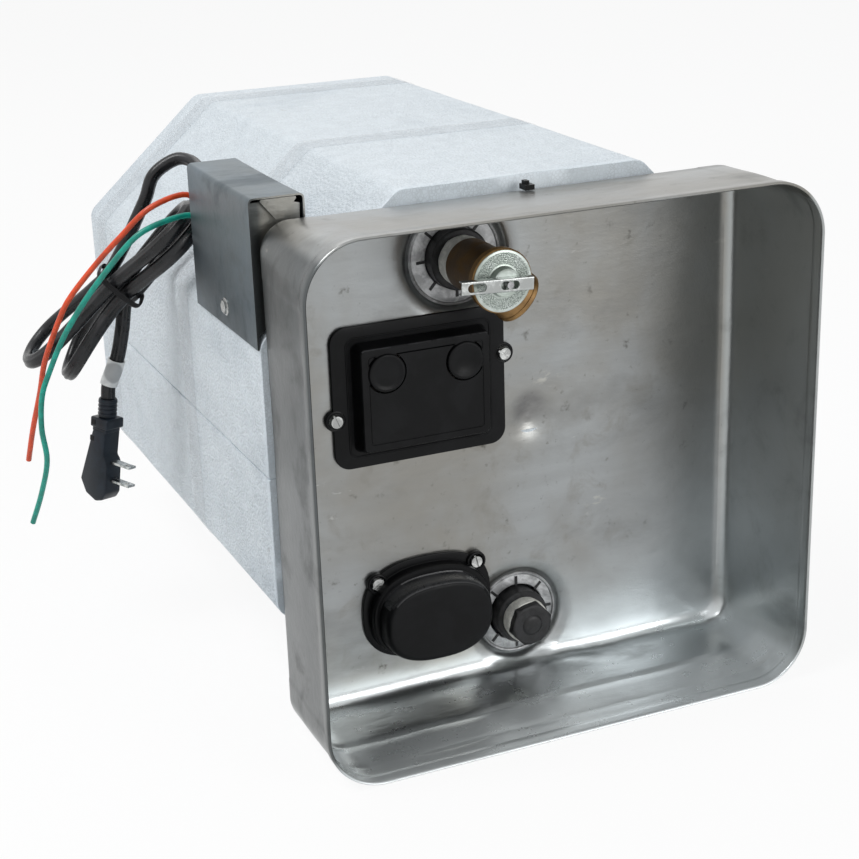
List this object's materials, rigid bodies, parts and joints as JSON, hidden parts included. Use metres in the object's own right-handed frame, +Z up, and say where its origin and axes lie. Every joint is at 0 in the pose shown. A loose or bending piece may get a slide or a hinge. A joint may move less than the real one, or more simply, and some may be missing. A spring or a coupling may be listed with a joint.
{
  "type": "electric storage water heater",
  "caption": "Caravan electric water heater: square steel front pan, foam-jacketed tank, relief valve, anode drain plug, element and reset covers, wiring box and tied mains cord",
  "frame": {"origin": "middle of the footprint of the heater without its cords, on the surface that it stands on", "axes": "+Z up; the open front of the pan faces -Y; the wiring box and cords are at -X"},
  "size_m": [0.4249, 0.492, 0.3285],
  "materials": {
    "galvanised_sheet": "satin",
    "white_foam": "matte",
    "clear_tape": "gloss",
    "black_plastic": "satin",
    "tank_steel": "satin",
    "black_steel": "satin",
    "plated_steel": "satin",
    "ring_steel": "satin",
    "sealing_tape": "matte",
    "dull_brass": "matte",
    "label_alloy": "satin",
    "black_rubber": "matte",
    "spring_steel": "satin",
    "bright_steel": "satin",
    "copper_brown": "satin",
    "anode_alloy": "matte",
    "cream_plastic": "matte",
    "red_plastic": "gloss",
    "brown_plastic": "matte",
    "black_cord": "satin",
    "white_plastic": "satin",
    "plug_plastic": "satin",
    "orange_plastic": "satin",
    "green_plastic": "satin"
  },
  "bodies": {
    "root": {"front_pan": "galvanised_sheet", "jacket_upper": "white_foam", "jacket_lower": "white_foam", "jacket_tape": "clear_tape", "jacket_clip": "black_plastic", "tank": "tank_steel", "relief_coupling": "black_steel", "drain_coupling": "black_steel", "element_coupling": "black_steel", "hot_outlet": "plated_steel", "cold_inlet": "plated_steel", "retaining_rings": "ring_steel", "thread_tape": "sealing_tape", "relief_valve_body": "dull_brass", "valve_bonnet": "dull_brass", "label_plate": "label_alloy", "relief_spring": "spring_steel", "temperature_probe": "copper_brown", "drain_plug": "black_steel", "anode_rod": "anode_alloy", "heating_element": "plated_steel", "element_loop": "ring_steel", "element_gasket": "black_rubber", "element_terminals": "cream_plastic", "element_cover": "black_plastic", "element_cover_screws": "plated_steel", "thermostat_cover": "black_plastic", "thermostat_cover_screws": "plated_steel", "thermostat": "brown_plastic", "high_limit_switch": "brown_plastic", "switch_bracket": "plated_steel", "wire_box": "galvanised_sheet", "wire_box_screw": "plated_steel", "cord_strain_relief": "black_rubber", "wire_grommet": "black_rubber", "cord_hank": "black_cord", "cord_tie": "black_plastic", "cord_lead": "black_cord", "cord_tag": "white_plastic", "plug_body": "plug_plastic", "plug_blades": "plated_steel", "orange_wire": "orange_plastic", "green_wire": "green_plastic"},
    "stem": {"valve_stem": "dull_brass", "valve_disc": "black_rubber", "lever_pin": "plated_steel"},
    "lever": {"test_lever": "bright_steel"},
    "left_reset": {"left_reset_pad": "black_rubber", "left_reset_button": "red_plastic"},
    "right_reset": {"right_reset_pad": "black_rubber", "right_reset_button": "red_plastic"}
  },
  "joints": [
    {"name": "stem_slide", "type": "slide", "parent": "root", "child": "stem", "axis": [0, -1, 0], "range_m": [0, 0.005], "stiffness_N_per_m": 1500, "springref_m": -0.006, "deforming": ["relief_spring"]},
    {"name": "lever_hinge", "type": "hinge", "parent": "stem", "child": "lever", "pos_m": [-0.0335, -0.2258, 0.2795], "axis": [0, 0, 1], "range_deg": [0, 30]},
    {"name": "left_reset_press", "type": "slide", "parent": "root", "child": "left_reset", "axis": [0, 1, 0], "range_m": [0, 0.0025], "stiffness_N_per_m": 400, "springref_m": -0.001},
    {"name": "right_reset_press", "type": "slide", "parent": "root", "child": "right_reset", "axis": [0, 1, 0], "range_m": [0, 0.0025], "stiffness_N_per_m": 400, "springref_m": -0.001}
  ],
  "couplings": [
    {"joint": "stem_slide", "follows": "lever_hinge", "m_per_rad": 0.0092}
  ]
}
